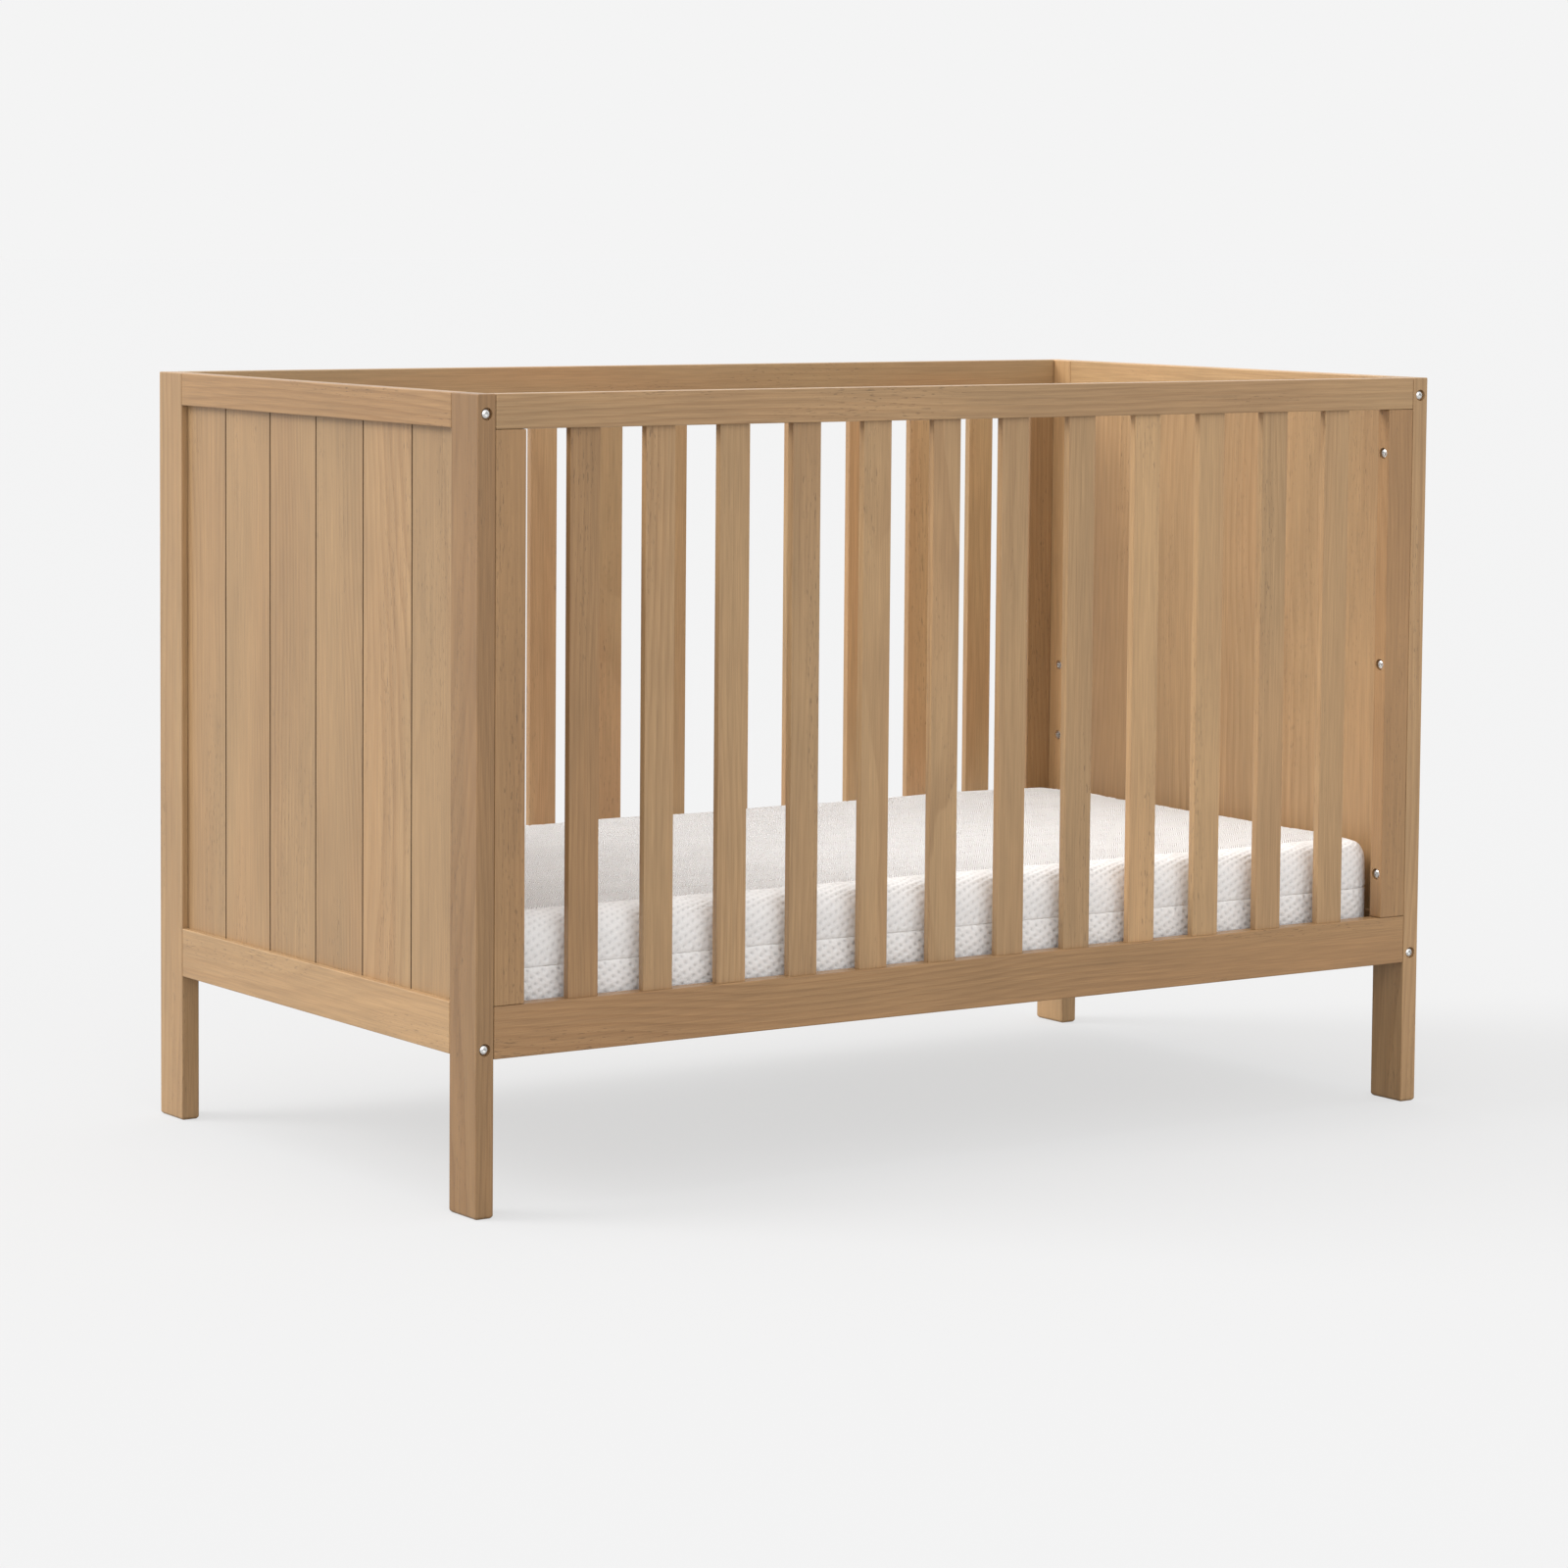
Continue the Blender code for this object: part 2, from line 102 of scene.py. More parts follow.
# Brightness of single boards, partly their own tone and partly painted light and shade; one not
# named here is at 1, or a back slat at the back slats' value below
BOARD_TONE_AND_LIGHT = {
    "post_front_left": 0.68, "post_front_right": 1.08, "post_back_right": 1.30,
    "stile_front_left": 0.80, "stile_front_right": 0.86, "stile_back_right": 0.80,
    "slat_front_01": 0.76, "slat_front_02": 0.95, "slat_front_04": 0.92,
    "slat_front_07": 0.94, "slat_front_09": 1.16, "slat_front_10": 1.16, "slat_front_11": 1.04,
    "side_rail_top_front": 0.92, "side_rail_bottom_front": 0.82, "side_rail_top_back": 1.00,
    "end_rail_top_left": 0.88, "end_rail_bottom_left": 1.06, "end_rail_top_right": 1.20,
    "end_panel_right": 1.05}

# Painted light: back slats are paler, and they and the top back rail have more of the warm and
# olive casts, for warm light bounced between the boards
BACK_PAINTED_LIGHT = 1.12
BACK_BOUNCE_WARMTH = 0.45
WARMTH = 0.15

# Painted shade colour: a board set darker than the first value below is also browner, by these
# factors on red, green and blue
PAINTED_SHADE_BELOW = 0.9
PAINTED_SHADE_BROWNING = (1.03, 0.95, 0.86)

# Hardware
HEAD_RADIUS = 0.0057
HEAD_HEIGHT = 0.0033
HEAD_RIM = 0.0009
HEAD_STEPS = 8
BOLT_SIDES = 36
SHANK_RADIUS = 0.0030
NECK_LENGTH = 0.004
THREAD_PITCH = 0.001
THREAD_ROOT = 0.86
TIP_SHARE = 0.8
SOCKET_RADIUS = 0.0027
SOCKET_DEPTH = 0.0030
SHARP_HEAD = math.radians(32)
INSERT_RADIUS = 0.0055
INSERT_DEPTH = 0.011
INSERT_FLOOR = 0.001
INSERT_BEVEL = 0.0004
INSERT_MOUTH = 0.0005
INSERT_SIDES = 32
INSERT_THREADS = 8
INSERT_PITCH = 0.0011
INSERT_FIRST = 0.0015
INSERT_FLANK = 0.0006
INSERT_CREST = 0.9
INSERT_SINK = 0.0008
SHARP_INSERT = math.radians(40)
STILE_BOLT_HEIGHTS = (0.2915, 0.5555, 0.820)
STILE_BOLT_LENGTH = 0.046
RECESS_DEPTH = 0.0039
SUPPORT_LEVELS = (0.2055, 0.3020, 0.3985, 0.4950)
SUPPORT_HOLE_INSET = 0.039

# Support deck: the thickness of one of its plies
PLY_THICKNESS = 0.0024

# Mattress cover: the side band turns over the rolled edge and ends BAND_LAP in from the side
KNIT_WHITE = (0.925, 0.915, 0.905)
CORNER_RADIUS = 0.040
ROLL_RADIUS = 0.020
BAND_LAP = 0.028
PANEL_SEAM_GAP = 0.004
SEAM_SHARE = 0.52

# Swelling: the block starts smaller than its space, and pins at FOAM_HOLD stand for the foam
SIDE_START = 0.002
TOP_START = 0.004
FOAM_HOLD = 0.19
CLOTH_DAMPING = 10.0
CLOTH_PRESSURE = 4.0
CLOTH_STRETCH = 25.0
CLOTH_BEND = 2.0
SWELL_CAP = 0.008
SIM_CELL = 0.012
SIM_FRAMES = 20
RAY_REACH = 0.03

# Knit of the side band: a skewed lattice of pits, which fades out at the seam
PIT_ROW = 0.0206
PIT_STEP = 0.0039
PIT_SKEW = 0.375
PIT_RADIUS = 0.0017
PIT_SHARPNESS = 2.2
PIT_DEPTH = 0.0020
LOWER_PITS = 1.6
# Painted shade in the pits: how dark their colour goes, and how much the deepest pits get
PIT_SHADE = 0.70
PIT_SHADOW_AMOUNT = 0.8
SEAM_DEPTH = 0.0016
SEAM_RADIUS = 0.0020
SEAM_FADE = 0.0030
PUCKER_HEIGHT = 0.0008
PUCKER_REACH = 0.010
PUCKER_PITCH = 0.012
BAND_CELL = PIT_ROW / 8
BAND_ROW = PIT_STEP / 2
COLUMN_STEP = 8

# Knit of the top panel: stripes of slanted ribs, with a ridge along each stripe's edges
STRIPE_PITCH = 0.115
STRIPE_START = 0.2
RIBBED_HALF = 0.16
RIDGE_AT = 0.08
RIDGE_HALF = 0.03
RIB_PITCH = 0.017
RIB_SLANT = 5.0
RIB_HEIGHT = 0.0010
RIDGE_HEIGHT = 0.0012
FINE_RIB_ALONG = 1900.0
FINE_RIB_ACROSS = 1500.0
FINE_RIB_ZIGZAG = 0.019
TUCK_REACH = 0.012
TUCK_DEPTH = 0.0008
TOP_CELL = 0.0055
BOTTOM_CELL = 0.02

# Unevenness of the cover: (waves' scale, seed, height)
BAND_WAVES = ((45.0, 3, 0.0008), (160.0, 4, 0.0004))
TOP_WAVES = ((26.0, 8, 0.0012),)


# ---------------------------------------------------------------- camera, light and floor

def make_camera():
    data = bpy.data.cameras.new("camera")
    data.sensor_width = 36.0
    data.lens = CAMERA_LENS
    data.shift_y = CAMERA_SHIFT
    data.clip_end = CAMERA_REACH
    camera = bpy.data.objects.new("camera", data)
    camera.location = CAMERA_PLACE
    heading = Matrix.Rotation(-CAMERA_TURN, 3, "Z")
    dip = Matrix.Rotation(math.pi / 2 - CAMERA_DIP, 3, "X")
    roll = Matrix.Rotation(CAMERA_ROLL, 3, "Z")
    camera.rotation_euler = (heading @ dip @ roll).to_euler()
    bpy.context.scene.collection.objects.link(camera)
    bpy.context.scene.camera = camera


def choose_by_ray(tree, kind, others, chosen, output):
    """Gives rays of one kind the chosen shader, and all others the first one."""
    path = tree.nodes.new("ShaderNodeLightPath")
    either = tree.nodes.new("ShaderNodeMixShader")
    tree.links.new(path.outputs[kind], either.inputs["Fac"])
    tree.links.new(others.outputs[0], either.inputs[1])
    tree.links.new(chosen.outputs[0], either.inputs[2])
    tree.links.new(either.outputs["Shader"], tree.nodes[output].inputs["Surface"])


def grey(value, blue=1.0):
    return (value, value, value * blue, 1)


def make_backdrop():
    """A white surround: brighter to look at than it is as a light."""
    world = bpy.data.worlds.new("studio")
    world.use_nodes = True
    bpy.context.scene.world = world
    tree = world.node_tree
    seen = tree.nodes["Background"]
    seen.inputs["Color"].default_value = grey(BACKDROP)
    fill = tree.nodes.new("ShaderNodeBackground")
    fill.inputs["Color"].default_value = grey(SKY_FILL, SKY_BLUE)
    choose_by_ray(tree, "Is Diffuse Ray", seen, fill, "World Output")


def add_sun(name, place, power, spread):
    data = bpy.data.lights.new(name, "SUN")
    data.energy = power
    data.angle = spread
    sun = bpy.data.objects.new(name, data)
    sun.location = place
    sun.rotation_euler = Vector(place).to_track_quat("Z", "Y").to_euler()
    bpy.context.scene.collection.objects.link(sun)


def make_lights():
    add_sun("key", KEY_FROM, KEY_POWER, KEY_SPREAD)
    add_sun("top", TOP_FROM, TOP_POWER, TOP_SPREAD)
    add_sun("front", FRONT_FROM, FRONT_POWER, FRONT_SPREAD)


def make_floor():
    """A pale floor whose glow lifts the shadows that the camera sees on it."""
    mesh = bpy.data.meshes.new("floor")
    half = FLOOR_SIZE / 2
    corners = [(-half, -half, 0), (half, -half, 0), (half, half, 0), (-half, half, 0)]
    mesh.from_pydata(corners, [], [(0, 1, 2, 3)])
    floor = bpy.data.objects.new("floor", mesh)
    bpy.context.scene.collection.objects.link(floor)
    mat = bpy.data.materials.new("floor")
    mat.use_nodes = True
    tree = mat.node_tree
    glowing = tree.nodes["Principled BSDF"]
    glowing.inputs["Base Color"].default_value = grey(FLOOR_TONE)
    glowing.inputs["Emission Color"].default_value = grey(1)
    glowing.inputs["Emission Strength"].default_value = FLOOR_GLOW
    glowing.inputs["Roughness"].default_value = 1.0
    glowing.inputs["Specular IOR Level"].default_value = 0.0
    plain = tree.nodes.new("ShaderNodeBsdfDiffuse")
    plain.inputs["Color"].default_value = grey(FLOOR_BOUNCE)
    choose_by_ray(tree, "Is Camera Ray", plain, glowing, "Material Output")
    mesh.materials.append(mat)


# ---------------------------------------------------------------- node helpers

class Shader:
    """A material's node tree, with short calls for the nodes used here."""

    def __init__(self, name):
        self.mat = bpy.data.materials.new(name)
        self.mat.use_nodes = True
        self.nodes = self.mat.node_tree.nodes
        self.links = self.mat.node_tree.links
        self.surface = self.nodes["Principled BSDF"]

    def put(self, socket, value):
        """Sets a socket to a number, a colour or another node's output."""
        if isinstance(value, bpy.types.NodeSocket):
            self.links.new(value, socket)
        elif isinstance(value, (tuple, list)) and len(socket.default_value) == 4:
            socket.default_value = (*value[:3], 1.0)
        else:
            socket.default_value = value

    def surface_is(self, **values):
        for name, value in values.items():
            self.put(self.surface.inputs[name.replace("_", " ")], value)

    def math(self, operation, a, b=0.0):
        node = self.nodes.new("ShaderNodeMath")
        node.operation = operation
        for socket, value in zip(node.inputs, (a, b)):
            self.put(socket, value)
        return node.outputs[0]

    def vector(self, operation, a, b=(0, 0, 0), scale=None):
        node = self.nodes.new("ShaderNodeVectorMath")
        node.operation = operation
        self.put(node.inputs[0], a)
        self.put(node.inputs[1], b)
        if scale is not None:
            self.put(node.inputs["Scale"], scale)
        return node.outputs["Value"] if operation == "LENGTH" else node.outputs[0]

    def object_place(self):
        return self.nodes.new("ShaderNodeTexCoord").outputs["Object"]

    def split(self, vector):
        node = self.nodes.new("ShaderNodeSeparateXYZ")
        self.put(node.inputs[0], vector)
        return node.outputs

    def join(self, x, y, z):
        node = self.nodes.new("ShaderNodeCombineXYZ")
        for socket, value in zip(node.inputs, (x, y, z)):
            self.put(socket, value)
        return node.outputs[0]

    def noise(self, place, scale=1.0, detail=2.0, roughness=0.5, colour=False):
        node = self.nodes.new("ShaderNodeTexNoise")
        self.put(node.inputs["Vector"], place)
        node.inputs["Scale"].default_value = scale
        node.inputs["Detail"].default_value = detail
        node.inputs["Roughness"].default_value = roughness
        return node.outputs["Color" if colour else "Fac"]

    def random(self, value):
        node = self.nodes.new("ShaderNodeTexWhiteNoise")
        node.noise_dimensions = "1D"
        self.put(node.inputs["W"], value)
        return node.outputs["Value"]

    def ramp(self, value, low, high, start=0.0, end=1.0):
        """Value between low and high, eased to a number between start and end."""
        node = self.nodes.new("ShaderNodeMapRange")
        node.interpolation_type = "SMOOTHSTEP"
        names = ("Value", "From Min", "From Max", "To Min", "To Max")
        for name, number in zip(names, (value, low, high, start, end)):
            self.put(node.inputs[name], number)
        return node.outputs["Result"]

    def mix(self, amount, a, b, blend="MIX"):
        """Colour a with an amount of colour b mixed in; inputs 6 and 7 are the two colours."""
        node = self.nodes.new("ShaderNodeMix")
        node.data_type = "RGBA"
        node.blend_type = blend
        self.put(node.inputs[0], amount)
        self.put(node.inputs[6], a)
        self.put(node.inputs[7], b)
        return node.outputs[2]

    def bump(self, height, distance):
        node = self.nodes.new("ShaderNodeBump")
        self.put(node.inputs["Height"], height)
        node.inputs["Distance"].default_value = distance
        node.inputs["Strength"].default_value = 1.0
        return node.outputs["Normal"]


# ---------------------------------------------------------------- wood

def plank_marks(s, place):
    """An end panel's outer face: a shift and a tone for each plank, and the dark grooves."""
    x, y, _ = s.split(place)
    outer = s.math("GREATER_THAN", s.math("ABSOLUTE", x), PANEL_MID_X)
    from_groove = s.math("PINGPONG", y, PLANK_PITCH / 2)
    stain = s.ramp(from_groove, GROOVE_HALF, GROOVE_EDGE, 1.0 - GROOVE_STAIN, 0.0)
    groove = s.math("SUBTRACT", 1.0, s.math("MULTIPLY", stain, outer))
    number = s.math("FLOOR", s.math("DIVIDE", y, PLANK_PITCH))
    number = s.math("MULTIPLY", number, outer)
    jump = s.math("MULTIPLY", s.random(number), 3.0)
    tone = s.ramp(s.random(s.math("ADD", number, 20.5)), 0, 1, 0.95, 1.04)
    return s.join(jump, jump, jump), tone, groove


def wood_material(name, grain, seed, planks, tone, warmth):
    """Stained, lacquered wood whose grain runs along one axis.

    The growth rings are shells round a wavy pith beside the board, so a face that cuts
    them flat shows broad arches and one that cuts them square shows straight lines.
    """
    rng = np.random.default_rng(seed)
    across = [axis for axis in (X, Y, Z) if axis != grain]
    s = Shader(name)
    place = s.object_place()
    shift = [float(v) for v in rng.uniform(-4, 4, 3)]
    plank_tone = 1.0
    groove = 1.0
    if planks:
        jump, plank_tone, groove = plank_marks(s, place)
        place = s.vector("ADD", place, jump)
    place = s.vector("ADD", place, tuple(shift))

    def stretched(along, over):
        scale = [over] * 3
        scale[grain] = along
        return s.vector("MULTIPLY", place, tuple(scale))

    drift = s.noise(stretched(0.9, 3.0), detail=1.0, colour=True)
    wave = s.noise(stretched(5.0, 16.0), detail=2.0, colour=True)
    bend = s.vector("ADD", s.vector("SCALE", drift, scale=0.11),
                    s.vector("SCALE", wave, scale=0.010))
    flat = [1.0] * 3
    flat[grain] = 0.03
    pith = [0.0] * 3
    pith[across[0]] = float(rng.uniform(-0.10, 0.10)) - shift[across[0]]
    pith[across[1]] = float(rng.uniform(0.04, 0.12)) - shift[across[1]]
    radial = s.vector("ADD", s.vector("MULTIPLY", s.vector("ADD", place, bend), tuple(flat)),
                      tuple(pith))
    rings = s.math("MULTIPLY", s.vector("LENGTH", radial), float(rng.uniform(*RINGS_PER_METRE)))
    ring = s.math("FRACT", rings)
    late = s.math("MULTIPLY", s.ramp(ring, 0.25, 0.92), s.ramp(ring, 1.0, 0.93))
    strength = s.ramp(s.noise(stretched(1.0, 9.0), detail=1.0), 0.3, 0.72, 0.06, 0.42)
    late = s.math("MULTIPLY", late, strength)

    fibre = s.noise(stretched(14.0, 620.0), detail=3.0, roughness=0.65)
    streak = s.noise(stretched(2.6, 130.0), detail=3.0, roughness=0.6)
    pore_zone = s.ramp(s.noise(stretched(2.2, 22.0), detail=1.0), 0.46, 0.66)
    pore = s.ramp(s.noise(stretched(85.0, 700.0), detail=1.0), 0.62, 0.72)
    pore = s.math("MULTIPLY", pore, pore_zone)
    cast = s.ramp(s.noise(stretched(1.6, 10.0), detail=2.0), 0.36, 0.64)

    colour = s.mix(late, WOOD_PALE, WOOD_DARK)
    cast_colour = s.mix(cast, WOOD_WARM, WOOD_OLIVE)
    colour = s.mix(warmth, colour, cast_colour)
    cloud = s.noise(stretched(3.0, 9.0), detail=3.0, roughness=0.6)
    shade = s.math("MULTIPLY", s.ramp(streak, 0.25, 0.75, 0.95, 1.05),
                   s.ramp(fibre, 0.25, 0.75, 0.86, 1.10))
    shade = s.math("MULTIPLY", shade, s.ramp(cloud, 0.3, 0.7, 0.93, 1.06))
    # tone carries painted light and shade as well as the board's own tone
    shade = s.math("MULTIPLY", shade, tone * float(rng.uniform(0.95, 1.05)))
    shade = s.math("MULTIPLY", shade, plank_tone)
    shade = s.math("MULTIPLY", shade, groove)
    shade = s.math("MULTIPLY", shade, s.ramp(pore, 0, 1, 1.0, 0.66))
    # Painted shade colour: boards darkened for shade are also browner
    shade_browning = PAINTED_SHADE_BROWNING if tone < PAINTED_SHADE_BELOW else (1.0, 1.0, 1.0)
    shades = [s.math("MULTIPLY", shade, part) for part in shade_browning]
    colour = s.mix(1.0, colour, s.join(*shades), blend="MULTIPLY")

    height = s.math("SUBTRACT", s.math("MULTIPLY", fibre, 0.6), s.math("MULTIPLY", pore, 0.8))
    height = s.math("SUBTRACT", height, s.math("MULTIPLY", late, 0.35))
    s.surface_is(Base_Color=colour, Roughness=s.ramp(fibre, 0.2, 0.8, 0.40, 0.52),
                 Normal=s.bump(height, WOOD_RELIEF), Coat_Weight=0.22, Coat_Roughness=0.22,
                 Specular_IOR_Level=0.42)
    return s.mat


def finish(node, material):
    """Gives a CAD node one new material."""
    materials = frame["nodes"][node].data.materials
    materials.clear()
    materials.append(material)


def dress_wood():
    """Gives every wooden CAD node its own cut of wood, along its longest side."""
    wooden = [row["node"] for row in frame["record"]["subparts"]
              if row["material_slot"] == "wood"]
    for seed, node in enumerate(sorted(wooden), start=FIRST_WOOD_SEED):
        low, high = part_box(node)
        size = [end - start for start, end in zip(low, high)]
        grain = Z if "panel" in node else size.index(max(size))
        # Back boards get painted light: paler, and warmer for bounced light
        behind = node.startswith(("slat_back", "side_rail_top_back"))
        # Board brightness: partly its own tone, partly painted light and shade
        tone = BOARD_TONE_AND_LIGHT.get(node, BACK_PAINTED_LIGHT if behind else 1.0)
        warmth = BACK_BOUNCE_WARMTH if behind else WARMTH
        finish(node, wood_material(f"wood_{node}", grain, seed, "panel" in node, tone, warmth))


# ---------------------------------------------------------------- hardware

def zinc_material(name, tone, seed):
    """Bright zinc plate: even, with faint cloudy marks and a fine grain."""
    s = Shader(name)
    place = s.vector("ADD", s.object_place(), (float(seed), 0, 0))
    cloud = s.noise(place, scale=420.0, detail=3.0)
    grain = s.noise(place, scale=2600.0, detail=2.0)
    colour = s.mix(cloud, tuple(0.86 * c for c in tone), tone)
    s.surface_is(Base_Color=colour, Metallic=1.0, Roughness=s.ramp(cloud, 0.2, 0.8, 0.20, 0.36),
                 Normal=s.bump(grain, 0.00002))
    return s.mat


def turned_mesh(name, profile, steps):
    """A closed solid turned from a half outline of (radius, height), from top to bottom."""
    bm = bmesh.new()
    rings = []
    for radius, height in profile:
        if radius == 0:
            rings.append([bm.verts.new((0, 0, height))])
            continue
        turns = [2 * math.pi * i / steps for i in range(steps)]
        rings.append([bm.verts.new((radius * math.cos(a), radius * math.sin(a), height))
                      for a in turns])
    for upper, lower in zip(rings, rings[1:]):
        for i in range(steps):
            j = (i + 1) % steps
            quad = [upper[i % len(upper)], lower[i % len(lower)],
                    lower[j % len(lower)], upper[j % len(upper)]]
            corners = list(dict.fromkeys(quad))
            if len(corners) > 2:
                bm.faces.new(corners)
    bmesh.ops.recalc_face_normals(bm, faces=bm.faces)
    mesh = bpy.data.meshes.new(name)
    bm.to_mesh(mesh)
    bm.free()
    return mesh


def new_object(name, mesh):
    obj = bpy.data.objects.new(name, mesh)
    bpy.context.scene.collection.objects.link(obj)
    return obj


def hex_cut(mesh, top, depth):
    """The mesh with a hexagonal socket sunk into its top, shaded smooth but for its edges."""
    body = new_object("cut_body", mesh)
    bm = bmesh.new()
    bmesh.ops.create_cone(bm, cap_ends=True, segments=6, radius1=SOCKET_RADIUS,
                          radius2=SOCKET_RADIUS, depth=2 * depth,
                          matrix=Matrix.Translation((0, 0, top)))
    tool_mesh = bpy.data.meshes.new("cut_tool")
    bm.to_mesh(tool_mesh)
    bm.free()
    tool = new_object("cut_tool", tool_mesh)
    cut = body.modifiers.new("socket", "BOOLEAN")
    cut.object = tool
    bpy.context.view_layer.update()
    done = bpy.data.meshes.new_from_object(body.evaluated_get(
        bpy.context.evaluated_depsgraph_get()))
    bpy.data.objects.remove(body)
    bpy.data.objects.remove(tool)
    done.name = mesh.name
    done.shade_smooth()
    done.set_sharp_from_angle(angle=SHARP_HEAD)
    return done


def dome(radius, height, rim, count):
    """Outline of a button head from its crown to the top of its rim."""
    turns = [math.pi / 2 * i / count for i in range(count + 1)]
    return [(radius * math.sin(a), rim + (height - rim) * math.cos(a)) for a in turns]


def bolt_mesh(name, length):
    """A button-head bolt: the head stands on Z = 0, and the threaded shank hangs below it."""
    head = dome(HEAD_RADIUS, HEAD_HEIGHT, HEAD_RIM, HEAD_STEPS)
    shank = [(HEAD_RADIUS, 0), (SHANK_RADIUS, 0)]
    turns = int((length - NECK_LENGTH) / THREAD_PITCH)
    for i in range(0, turns, 2):
        z = -NECK_LENGTH - i * THREAD_PITCH
        shank += [(SHANK_RADIUS, z), (SHANK_RADIUS * THREAD_ROOT, z - THREAD_PITCH)]
    shank += [(SHANK_RADIUS * TIP_SHARE, -length), (0, -length)]
    return hex_cut(turned_mesh(name, head + shank, BOLT_SIDES), HEAD_HEIGHT, SOCKET_DEPTH)


def insert_mesh(name):
    """A threaded insert with its mouth at Z = 0: a bevelled ring round a threaded hole."""
    outer, bore, depth = INSERT_RADIUS, SHANK_RADIUS, INSERT_DEPTH
    profile = [(bore, -INSERT_BEVEL), (bore + INSERT_MOUTH, 0), (outer - INSERT_BEVEL, 0),
               (outer, -INSERT_BEVEL), (outer, -depth), (0, -depth),
               (0, -depth + INSERT_FLOOR), (bore, -depth + INSERT_FLOOR)]
    for i in range(INSERT_THREADS):
        z = -depth + INSERT_FIRST + i * INSERT_PITCH
        profile += [(bore * INSERT_CREST, z), (bore, z + INSERT_FLANK)]
    profile.append(profile[0])
    mesh = turned_mesh(name, profile, INSERT_SIDES)
    bm = bmesh.new()
    bm.from_mesh(mesh)
    bmesh.ops.remove_doubles(bm, verts=bm.verts, dist=0.00001)
    bmesh.ops.recalc_face_normals(bm, faces=bm.faces)
    bm.to_mesh(mesh)
    bm.free()
    mesh.shade_smooth()
    mesh.set_sharp_from_angle(angle=SHARP_INSERT)
    return mesh


def set_piece(name, mesh, material, place, outward, body, turn=0.0):
    """Puts a turned piece at a place with its +Z along outward, riding on a body."""
    piece = new_object(name, mesh)
    if not mesh.materials:
        mesh.materials.append(material)
    aim = Vector((0, 0, 1)).rotation_difference(Vector(outward)).to_matrix()
    piece.location = place
    piece.rotation_euler = (aim @ Matrix.Rotation(turn, 3, "Z")).to_euler()
    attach(piece, body)
    return piece


def dress_bolts(zinc):
    """Detailed bolts in place of the plain CAD ones: those along X hold the support."""
    rng = np.random.default_rng(5)
    meshes = {}
    for node in sorted(frame["nodes"]):
        if "bolt" not in node:
            continue
        low, high = (np.array(c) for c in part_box(node))
        middle = (low + high) / 2
        along = X if node.startswith("support") else Y
        outward = [0.0, 0.0, 0.0]
        outward[along] = float(np.sign(middle[along])) * (-1 if along == X else 1)
        length = round(float((high - low)[along]) - HEAD_HEIGHT, 5)
        if length not in meshes:
            meshes[length] = bolt_mesh(f"bolt_{along}", length)
        seat = middle.copy()
        head_face = (high if outward[along] > 0 else low)[along]
        seat[along] = head_face - outward[along] * HEAD_HEIGHT
        body = "support" if along == X else "frame"
        bolt = set_piece(f"{node}_detailed", meshes[length], zinc, seat, outward, body,
                         float(rng.uniform(0, math.pi)))
        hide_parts(node)


def add_stile_bolts(zinc):
    """The bolts in the counterbored edge of each stile, which hold the sides to the posts."""
    rng = np.random.default_rng(6)
    mesh = bolt_mesh("stile_bolt", STILE_BOLT_LENGTH)
    for side in ("front", "back"):
        for end, sign in (("left", -1), ("right", 1)):
            low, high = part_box(f"stile_{side}_{end}")
            edge = high[X] if sign < 0 else low[X]
            middle = (low[Y] + high[Y]) / 2
            for number, height in enumerate(STILE_BOLT_HEIGHTS, start=1):
                place = (edge + sign * RECESS_DEPTH, middle, height)
                set_piece(f"stile_bolt_{side}_{end}_{number}", mesh, zinc, place,
                          (-sign, 0, 0), "frame", float(rng.uniform(0, math.pi)))


def add_inserts(zinc):
    """Threaded inserts in the posts' inner faces, one for each support height."""
    mesh = insert_mesh("support_insert")
    for side, sy in (("front", -1), ("back", 1)):
        for end, sx in (("left", -1), ("right", 1)):
            low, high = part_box(f"post_{side}_{end}")
            face = low[X] if sx > 0 else high[X]
            outer = low[Y] if sy < 0 else high[Y]
            for number, height in enumerate(SUPPORT_LEVELS, start=1):
                place = (face + sx * INSERT_SINK, outer - sy * SUPPORT_HOLE_INSET, height)
                set_piece(f"support_insert_{side}_{end}_{number}", mesh, zinc, place,
                          (-sx, 0, 0), "frame")


def steel_paint_material():
    """Grey powder paint on the support's steel angles."""
    s = Shader("angle_steel")
    place = s.object_place()
    fine = s.noise(place, scale=1500.0, detail=2.0)
    wear_and_shade = s.noise(place, scale=35.0, detail=3.0)
    colour = s.mix(wear_and_shade, (0.50, 0.50, 0.49), (0.60, 0.60, 0.59))
    s.surface_is(Base_Color=colour, Metallic=0.75, Roughness=s.ramp(wear_and_shade, 0.3, 0.7, 0.38, 0.5),
                 Normal=s.bump(fine, 0.00005))
    return s.mat


